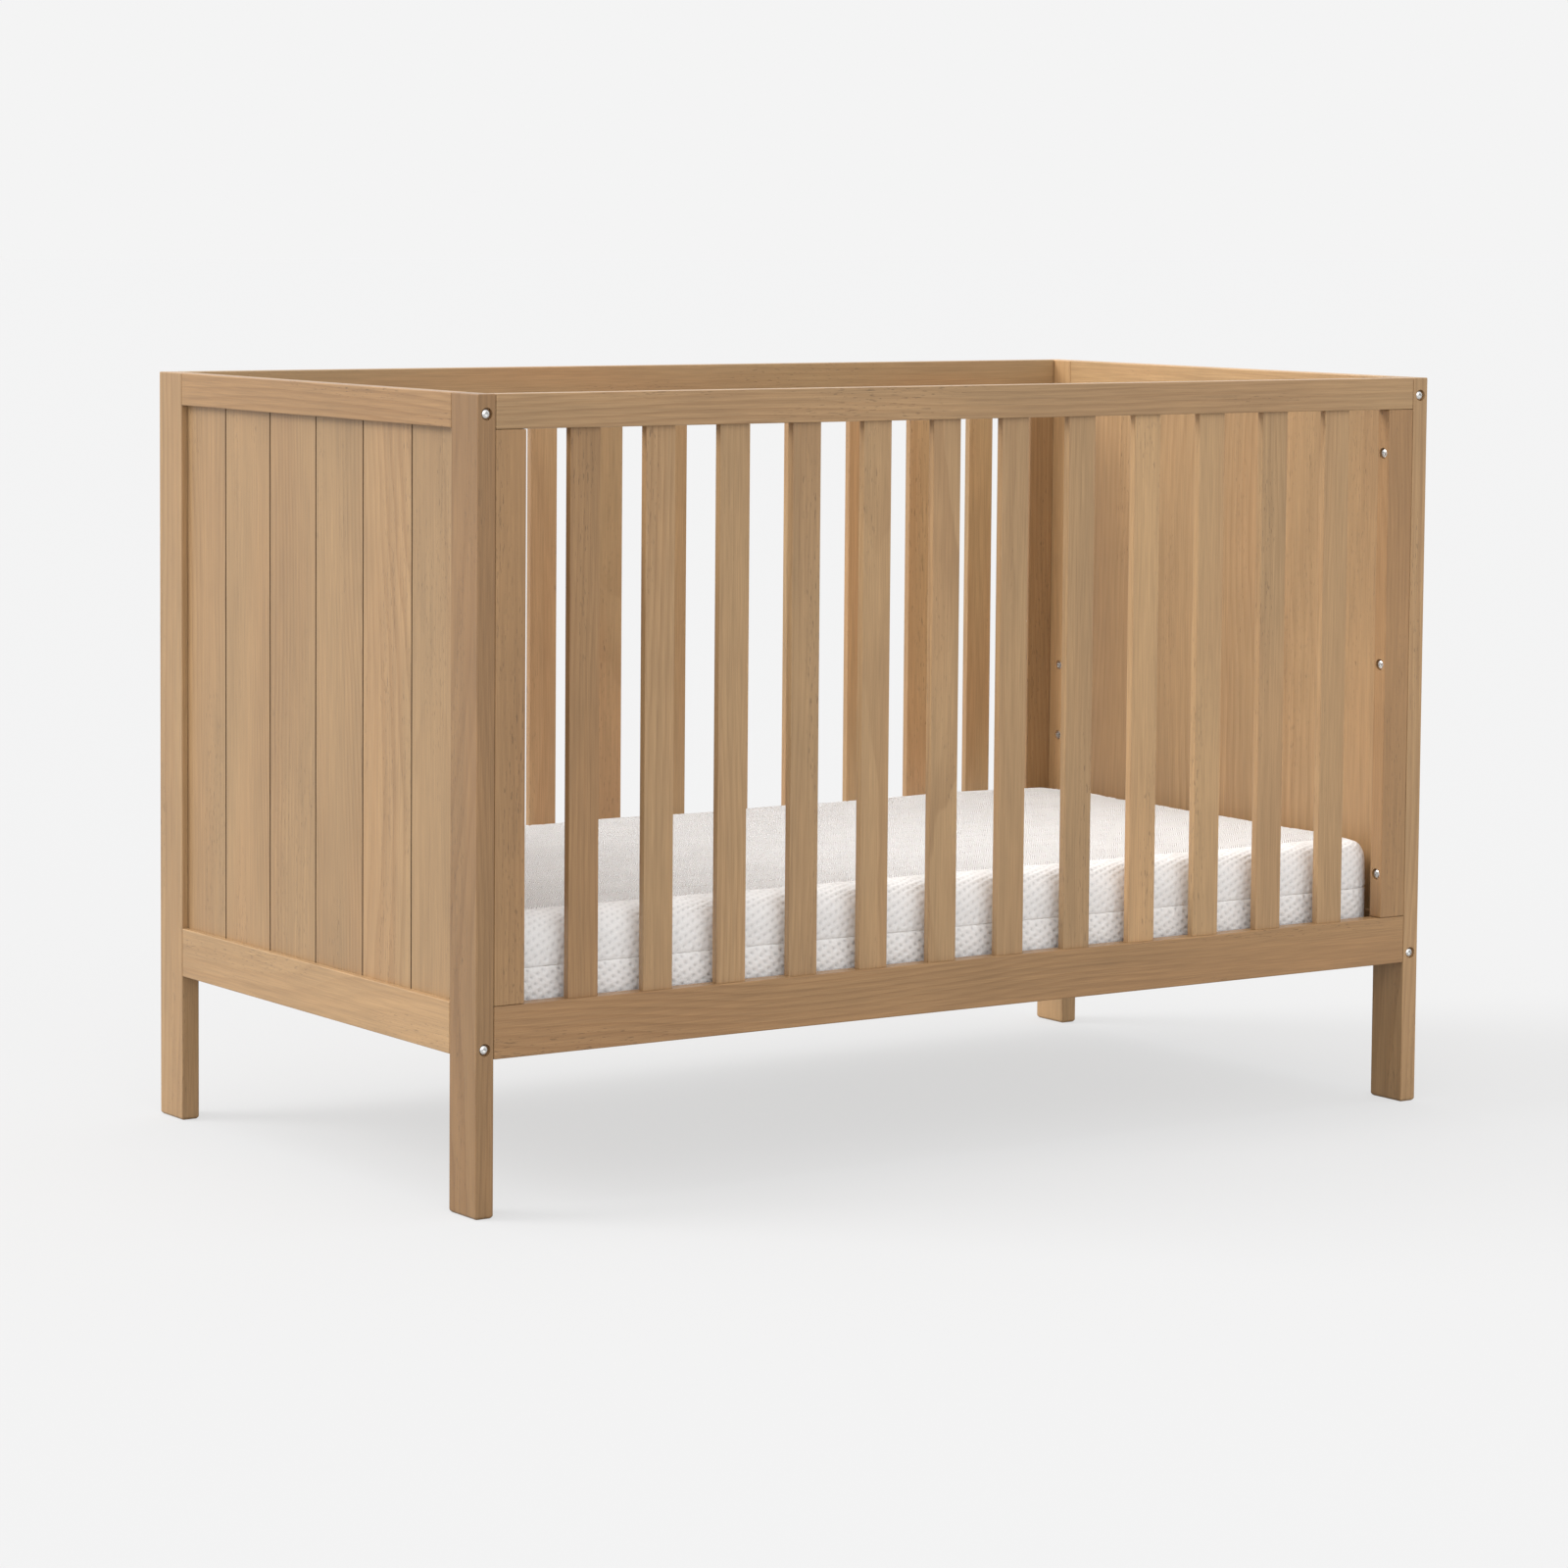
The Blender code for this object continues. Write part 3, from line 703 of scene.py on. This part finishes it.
def ply_material():
    """Poplar plywood: a broad-figured face and thin plies along the edges."""
    s = Shader("plywood")
    place = s.object_place()
    face = s.noise(s.vector("MULTIPLY", place, (3.0, 45.0, 45.0)), detail=3.0, roughness=0.6)
    fibre = s.noise(s.vector("MULTIPLY", place, (30.0, 700.0, 700.0)), detail=2.0)
    ply = s.math("FRACT", s.math("MULTIPLY", s.split(place)[Z], 1 / PLY_THICKNESS))
    plies = s.ramp(s.math("ABSOLUTE", s.math("SUBTRACT", ply, 0.5)), 0.2, 0.3)
    colour = s.mix(s.ramp(face, 0.3, 0.7), (0.60, 0.44, 0.27), (0.50, 0.34, 0.19))
    facing = s.split(s.nodes.new("ShaderNodeNewGeometry").outputs["Normal"])[Z]
    edge = s.math("LESS_THAN", s.math("ABSOLUTE", facing), 0.5)
    colour = s.mix(s.math("MULTIPLY", s.math("MULTIPLY", plies, edge), 0.55), colour,
                   (0.30, 0.19, 0.10))
    s.surface_is(Base_Color=colour, Roughness=0.62, Normal=s.bump(fibre, 0.0002))
    return s.mat


def dress_support():
    paint = steel_paint_material()
    for end in ("left", "right"):
        finish(f"support_angle_{end}", paint)
    finish("support_deck", ply_material())


# ---------------------------------------------------------------- mattress

def perimeter_of(half_x, half_y, corner):
    return 2 * (2 * (half_x - corner) + 2 * (half_y - corner)) + 4 * (corner * math.pi / 2)


def outline(half_x, half_y, corner, count):
    """Points evenly spaced along a rounded rectangle, their outward normals and distances."""
    straight_x, straight_y = 2 * (half_x - corner), 2 * (half_y - corner)
    arc = corner * math.pi / 2
    total = perimeter_of(half_x, half_y, corner)
    places, normals, runs = [], [], []
    sides = [((-1, -1), (1, 0), straight_x, -90), ((1, -1), (0, 1), straight_y, 0),
             ((1, 1), (-1, 0), straight_x, 90), ((-1, 1), (0, -1), straight_y, 180)]
    for i in range(count):
        run = total * i / count
        runs.append(run)
        for (sx, sy), (dx, dy), straight, angle in sides:
            if run < straight:
                facing = math.radians(angle)
                start = Vector((sx * (half_x - corner * abs(dx)), sy * (half_y - corner * abs(dy))))
                place = start + Vector((dx, dy)) * run
                break
            run -= straight
            if run < arc:
                facing = math.radians(angle) + run / corner
                ex, ey = sx if dx == 0 else dx, sy if dy == 0 else dy
                centre = Vector((ex * (half_x - corner), ey * (half_y - corner)))
                place = centre + corner * Vector((math.cos(facing), math.sin(facing)))
                break
            run -= arc
        places.append(place)
        normals.append(Vector((math.cos(facing), math.sin(facing))))
    return np.array(places), np.array(normals), np.array(runs)


def band_profile(bottom, top, rising):
    """Rows of (inset, height, slope) from the seam, round the roll, to the end of the lap."""
    wall = (top - ROLL_RADIUS) if rising else (bottom + ROLL_RADIUS)
    seam = bottom + SEAM_SHARE * (top - bottom)
    steps = max(2, round(abs(wall - seam) / BAND_ROW))
    rows = [(0.0, seam + (wall - seam) * i / steps, 0.0) for i in range(steps)]
    arc = max(2, round(ROLL_RADIUS * math.pi / 2 / BAND_ROW))
    sign = 1 if rising else -1
    for i in range(arc + 1):
        turn = math.pi / 2 * i / arc
        rows.append((ROLL_RADIUS * (1 - math.cos(turn)),
                     wall + sign * ROLL_RADIUS * math.sin(turn), turn))
    lap = max(1, round((BAND_LAP - ROLL_RADIUS) / BAND_ROW))
    rows += [(ROLL_RADIUS + (BAND_LAP - ROLL_RADIUS) * (i + 1) / lap, rows[-1][1], math.pi / 2)
             for i in range(lap)]
    return rows


def swollen_form(low, high):
    """The mattress after its cover has swelled over the foam, to cast rays at, and its middle."""
    bm = bmesh.new()
    size = high - low - Vector((2 * SIDE_START, 2 * SIDE_START, TOP_START))
    middle = (low + high) / 2 - Vector((0, 0, TOP_START / 2))
    bmesh.ops.create_cube(bm, size=1.0, matrix=Matrix.Diagonal((*size, 1.0)))
    upright = [e for e in bm.edges if abs((e.verts[0].co - e.verts[1].co).z) > ROLL_RADIUS]
    bmesh.ops.bevel(bm, geom=upright, offset=CORNER_RADIUS, segments=6, profile=0.5,
                    affect="EDGES")
    rims = [e for e in bm.edges if abs((e.verts[0].co - e.verts[1].co).z) < ROLL_RADIUS]
    bmesh.ops.bevel(bm, geom=rims, offset=ROLL_RADIUS, segments=4, profile=0.5, affect="EDGES")
    mesh = bpy.data.meshes.new("swollen")
    bm.to_mesh(mesh)
    bm.free()
    form = new_object("swollen", mesh)
    form.location = middle
    remesh = form.modifiers.new("cells", "REMESH")
    remesh.mode = "VOXEL"
    remesh.voxel_size = SIM_CELL
    bpy.context.view_layer.update()
    even = bpy.data.meshes.new_from_object(
        form.evaluated_get(bpy.context.evaluated_depsgraph_get()))
    form.modifiers.clear()
    form.data = even
    run_swell(form)
    smooth = form.modifiers.new("smooth", "SUBSURF")
    smooth.levels = smooth.render_levels = 1
    bpy.context.view_layer.update()
    tree = BVHTree.FromObject(form, bpy.context.evaluated_depsgraph_get())
    bpy.data.objects.remove(form)
    return tree, middle


def run_swell(form):
    """Cloth under pressure: the foam holds it softly, the seam and the underside fully."""
    rest = np.array([v.co for v in form.data.vertices])
    half_z = rest[:, Z].max()
    seam = -half_z + SEAM_SHARE * 2 * half_z
    held = form.vertex_groups.new(name="held")
    held.add(list(range(len(rest))), FOAM_HOLD, "REPLACE")
    sides = np.maximum(np.abs(rest[:, X]) / rest[:, X].max(), np.abs(rest[:, Y]) / rest[:, Y].max())
    near_seam = (np.abs(rest[:, Z] - seam) < SIM_CELL * 0.6) & (sides > 0.9)
    under = rest[:, Z] < -half_z * 0.97
    held.add([int(i) for i in np.flatnonzero(near_seam | under)], 1.0, "REPLACE")
    cloth = form.modifiers.new("cloth", "CLOTH")
    settings = cloth.settings
    settings.quality = 4
    settings.use_pressure = True
    settings.uniform_pressure_force = CLOTH_PRESSURE
    settings.effector_weights.gravity = 0.0
    settings.vertex_group_mass = "held"
    settings.air_damping = CLOTH_DAMPING
    settings.tension_stiffness = settings.compression_stiffness = CLOTH_STRETCH
    settings.bending_stiffness = CLOTH_BEND
    scene = bpy.context.scene
    for step in range(1, SIM_FRAMES + 1):
        scene.frame_set(step)
    moved = bpy.data.meshes.new_from_object(
        form.evaluated_get(bpy.context.evaluated_depsgraph_get()))
    form.modifiers.clear()
    scene.frame_set(1)
    after = np.array([v.co for v in moved.vertices])
    shift = after - rest
    length = np.linalg.norm(shift, axis=1, keepdims=True)
    shift *= np.minimum(1.0, SWELL_CAP / np.maximum(length, 1e-9))
    form.data.vertices.foreach_set("co", (rest + shift).ravel())
    form.data.update()


def on_form(tree, middle, places, normals):
    """Places moved along their normals onto the swollen form."""
    landed = places.copy()
    for i, (place, normal) in enumerate(zip(places, normals)):
        start = Vector(place - np.array(middle)) + Vector(normal) * RAY_REACH
        hit = tree.ray_cast(start, -Vector(normal), 2 * RAY_REACH)[0]
        if hit is not None:
            landed[i] = np.array(hit) + np.array(middle)
    return landed


def pits(run, rise):
    """Depth of the knit's pits, 0 to 1, on a skewed lattice along the band."""
    row = rise / PIT_STEP
    total = np.zeros_like(run)
    for k in (-1, 0, 1, 2):
        nearest = np.floor(row) + k
        offset = (run - nearest * PIT_SKEW * PIT_ROW) / PIT_ROW
        across = (offset - np.round(offset)) * PIT_ROW
        away = (row - nearest) * PIT_STEP
        total += np.exp(-(across ** 2 + away ** 2) / (2 * PIT_RADIUS ** 2 / PIT_SHARPNESS))
    return np.clip(total, 0, 1)


def slow_noise(points, scale, seed):
    """A few sine waves in random directions, for unevenness wider than the knit."""
    rng = np.random.default_rng(seed)
    value = np.zeros(len(points))
    for _ in range(9):
        direction = rng.normal(size=3)
        direction /= np.linalg.norm(direction)
        value += np.sin(points @ direction * scale * rng.uniform(0.6, 1.6) + rng.uniform(0, 6.28))
    return value / 4.5


def unevenness(points, waves):
    return sum(slow_noise(points, scale, seed) * height for scale, seed, height in waves)


def grid_faces(rows, columns, closed):
    """Faces of a grid of places; closed joins its last column to its first."""
    across = columns if closed else columns - 1
    r, c = np.meshgrid(np.arange(rows - 1), np.arange(across), indexing="ij")
    right = (c + 1) % columns
    quads = np.stack([r * columns + c, r * columns + right,
                      (r + 1) * columns + right, (r + 1) * columns + c], axis=-1)
    return quads.reshape(-1, 4).tolist()


def band_grid(low, high, rising, form):
    """Rings of the cover's pitted side, from the seam round the roll, and their pits."""
    half = (high - low) / 2
    middle = (low + high) / 2
    perimeter = perimeter_of(half.x, half.y, CORNER_RADIUS)
    columns = round(perimeter / BAND_CELL / COLUMN_STEP) * COLUMN_STEP
    flat, facing, runs = outline(half.x, half.y, CORNER_RADIUS, columns)
    profile = band_profile(low.z, high.z, rising)
    places, normals, run, rise = [], [], [], []
    travelled, previous = 0.0, profile[0]
    for inset, height, slope in profile:
        travelled += math.hypot(inset - previous[0], height - previous[1])
        previous = (inset, height)
        ring = flat - facing * inset
        tilt = math.sin(slope) * (1 if rising else -1)
        places.append(np.column_stack([ring + np.array(middle)[:2], np.full(columns, height)]))
        normals.append(np.column_stack([facing * math.cos(slope), np.full(columns, tilt)]))
        run.append(runs)
        rise.append(np.full(columns, travelled))
    places, normals = np.concatenate(places), np.concatenate(normals)
    run, rise = np.concatenate(run), np.concatenate(rise)
    places = on_form(*form, places, normals)
    along = rise if rising else -rise
    period = perimeter / round(perimeter / PIT_ROW)
    depth = pits(run * PIT_ROW / period, along) * PIT_DEPTH
    depth *= 1 - np.exp(-(rise / SEAM_FADE) ** 2)
    uneven = unevenness(places, BAND_WAVES)
    bulge = 1.0 if rising else LOWER_PITS
    seam_dip = SEAM_DEPTH * np.exp(-(rise / SEAM_RADIUS) ** 2)
    pucker = PUCKER_HEIGHT * np.exp(-(rise / PUCKER_REACH) ** 2)
    pucker = pucker * np.sin(run * 2 * math.pi / PUCKER_PITCH)
    places += normals * (uneven - depth * bulge - seam_dip + pucker)[:, None]
    return places, depth / PIT_DEPTH, len(profile), columns


def top_relief(x, y):
    """Height of the top panel's knit: stripes of slanted ribs between plain ones."""
    stripe = np.mod(y / STRIPE_PITCH + STRIPE_START, 1.0)
    ribbed = np.exp(-((stripe - 0.5) / RIBBED_HALF) ** 4)
    ribs = np.sin(2 * math.pi * (x / RIB_PITCH + np.abs(stripe - 0.5) * RIB_SLANT))
    ridge = sum(np.exp(-((stripe - centre) / RIDGE_HALF) ** 2)
                for centre in (RIDGE_AT, 1 - RIDGE_AT))
    return RIB_HEIGHT * ribbed * ribs + RIDGE_HEIGHT * ridge


def squared_in(x, y, half_x, half_y, corner):
    """Pulls the corners of a rectangle of points onto a rounded rectangle."""
    dx, dy = np.abs(x) - (half_x - corner), np.abs(y) - (half_y - corner)
    inside = (dx > 0) & (dy > 0)
    radius = np.hypot(dx, dy)
    reach = np.maximum(dx, dy)
    factor = np.where(inside & (radius > 0), reach / np.maximum(radius, 1e-9), 1.0)
    nx = np.where(inside, np.sign(x) * (half_x - corner + dx * factor), x)
    ny = np.where(inside, np.sign(y) * (half_y - corner + dy * factor), y)
    return nx, ny


def panel_grid(low, high, form, up):
    """Places of the top or bottom panel, which starts a seam's width inside the band."""
    margin = BAND_LAP + PANEL_SEAM_GAP
    cell = TOP_CELL if up else BOTTOM_CELL
    nx = round((high.x - low.x - 2 * margin) / cell)
    ny = round((high.y - low.y - 2 * margin) / cell)
    u, v = np.meshgrid(np.linspace(-1, 1, nx + 1), np.linspace(-1, 1, ny + 1))
    half_x, half_y = (high.x - low.x) / 2 - margin, (high.y - low.y) / 2 - margin
    corner = CORNER_RADIUS - margin
    x, y = squared_in(u.ravel() * half_x, v.ravel() * half_y, half_x, half_y, corner)
    z = np.full(x.shape, high.z if up else low.z)
    middle = (low + high) / 2
    places = np.column_stack([x + middle.x, y + middle.y, z])
    normals = np.tile([0.0, 0.0, 1.0 if up else -1.0], (len(places), 1))
    places = on_form(*form, places, normals)
    rim = np.maximum(np.abs(x) - half_x, np.abs(y) - half_y)
    tuck = np.clip(1 + rim / TUCK_REACH, 0, 1)
    if up:
        places[:, Z] += top_relief(x, y) * (1 - tuck) + unevenness(places, TOP_WAVES)
    places[:, Z] -= (TUCK_DEPTH * tuck) * (1 if up else -1)
    return places, ny + 1, nx + 1


def rim_of(rows, columns):
    """Indices round the edge of a grid, anticlockwise from its first corner."""
    bottom = list(range(columns))
    right = [r * columns + columns - 1 for r in range(1, rows)]
    top = [(rows - 1) * columns + c for c in range(columns - 2, -1, -1)]
    left = [r * columns for r in range(rows - 2, 0, -1)]
    return bottom + right + top + left


def joined_rings(places, outer, inner):
    """Triangles between two closed rings, always across the shorter diagonal."""
    gaps = np.linalg.norm(places[inner] - places[outer[0]], axis=1)
    start = int(np.argmin(gaps))
    inner = inner[start:] + inner[:start]
    faces, i, j = [], 0, 0
    while i < len(outer) or j < len(inner):
        a, b = outer[i % len(outer)], inner[j % len(inner)]
        next_a, next_b = outer[(i + 1) % len(outer)], inner[(j + 1) % len(inner)]
        along_outer = np.linalg.norm(places[next_a] - places[b])
        along_inner = np.linalg.norm(places[next_b] - places[a])
        if j == len(inner) or (i < len(outer) and along_outer <= along_inner):
            faces.append((a, next_a, b))
            i += 1
        else:
            faces.append((a, next_b, b))
            j += 1
    return faces


def make_half(name, low, high, form, up):
    """One watertight half of the mattress: its side, its panel and a face at the seam."""
    band, pit, rings, columns = band_grid(low, high, up, form)
    panel, rows, across = panel_grid(low, high, form, up)
    places = np.concatenate([band, panel])
    places[:, Z] = np.maximum(places[:, Z], low.z)
    first = len(band)
    last_ring = list(range((rings - 1) * columns, rings * columns))
    rim = [first + k for k in rim_of(rows, across)]
    side = grid_faces(rings, columns, closed=True)
    flat = [[first + k for k in face] for face in grid_faces(rows, across, closed=False)]
    join = joined_rings(places, last_ring, rim)
    seam = tuple(reversed(range(columns)))
    mesh = bpy.data.meshes.new(name)
    mesh.from_pydata(places.tolist(), [], [*side, *join, *flat, seam])
    mesh.update()
    mesh.shade_smooth()
    mesh.polygons[len(mesh.polygons) - 1].use_smooth = False
    panel_faces = range(len(side) + len(join), len(mesh.polygons) - 1)
    for k in panel_faces:
        mesh.polygons[k].material_index = 1
    # Pit depth, which the pitted knit also uses to paint shade in the pits
    hollow = mesh.attributes.new("pit", "FLOAT", "POINT")
    hollow.data.foreach_set("value", np.concatenate([pit, np.zeros(len(panel))]))
    if not up:
        mesh.flip_normals()
    return mesh


def knit_material(name, ribbed):
    """White stretch knit: fine stitches and a soft sheen, with slanted ribs whose troughs get
    painted shade, or with painted shade in the pits.
    """
    s = Shader(name)
    place = s.object_place()
    stitch = s.noise(s.vector("MULTIPLY", place, (1.0, 1.0, 1.6)), scale=900.0, detail=2.0)
    cloud = s.noise(place, scale=14.0, detail=2.0)
    colour = s.mix(s.ramp(cloud, 0.3, 0.7), KNIT_WHITE, tuple(0.965 * c for c in KNIT_WHITE))
    shade = s.ramp(stitch, 0.25, 0.75, 0.94, 1.02)
    colour = s.mix(1.0, colour, s.join(shade, shade, shade), blend="MULTIPLY")
    height = stitch
    if ribbed:
        x, y, _ = s.split(place)
        slant = s.math("PINGPONG", y, FINE_RIB_ZIGZAG)
        phase = s.math("ADD", s.math("MULTIPLY", x, FINE_RIB_ALONG),
                       s.math("MULTIPLY", slant, FINE_RIB_ACROSS))
        rib = s.math("SINE", phase)
        height = s.math("ADD", stitch, s.math("MULTIPLY", rib, 0.9))
        # Painted shade: the ribs' troughs are darker
        wear_and_shade = s.ramp(rib, -1.0, 0.2, 0.93, 1.0)
        colour = s.mix(1.0, colour, s.join(wear_and_shade, wear_and_shade, wear_and_shade), blend="MULTIPLY")
    else:
        # Painted shade: each pit's colour darkens with its depth
        pit = s.nodes.new("ShaderNodeAttribute")
        pit.attribute_name = "pit"
        colour = s.mix(s.math("MULTIPLY", pit.outputs["Fac"], PIT_SHADOW_AMOUNT), colour,
                       tuple(PIT_SHADE * c for c in KNIT_WHITE))
    s.surface_is(Base_Color=colour, Roughness=0.88, Sheen_Weight=0.25, Sheen_Roughness=0.4,
                 Specular_IOR_Level=0.25, Normal=s.bump(height, 0.0006))
    return s.mat


def dress_mattress():
    low, high = (Vector(c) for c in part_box("mattress"))
    form = swollen_form(low, high)
    pitted = knit_material("knit_pitted", ribbed=False)
    ribbed = knit_material("knit_ribbed", ribbed=True)
    for name, up in (("mattress_upper", True), ("mattress_lower", False)):
        mesh = make_half(name, low, high, form, up)
        mesh.materials.append(pitted)
        mesh.materials.append(ribbed if up else pitted)
        piece = new_object(name, mesh)
        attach(piece, "mattress")
        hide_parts("mattress")


# ---------------------------------------------------------------- run

make_camera()
make_backdrop()
make_lights()
make_floor()
dress_wood()
zinc = zinc_material("zinc", (0.80, 0.80, 0.79), 1)
dress_bolts(zinc)
add_stile_bolts(zinc)
add_inserts(zinc)
dress_support()
dress_mattress()

bpy.context.scene.view_settings.view_transform = "Standard"
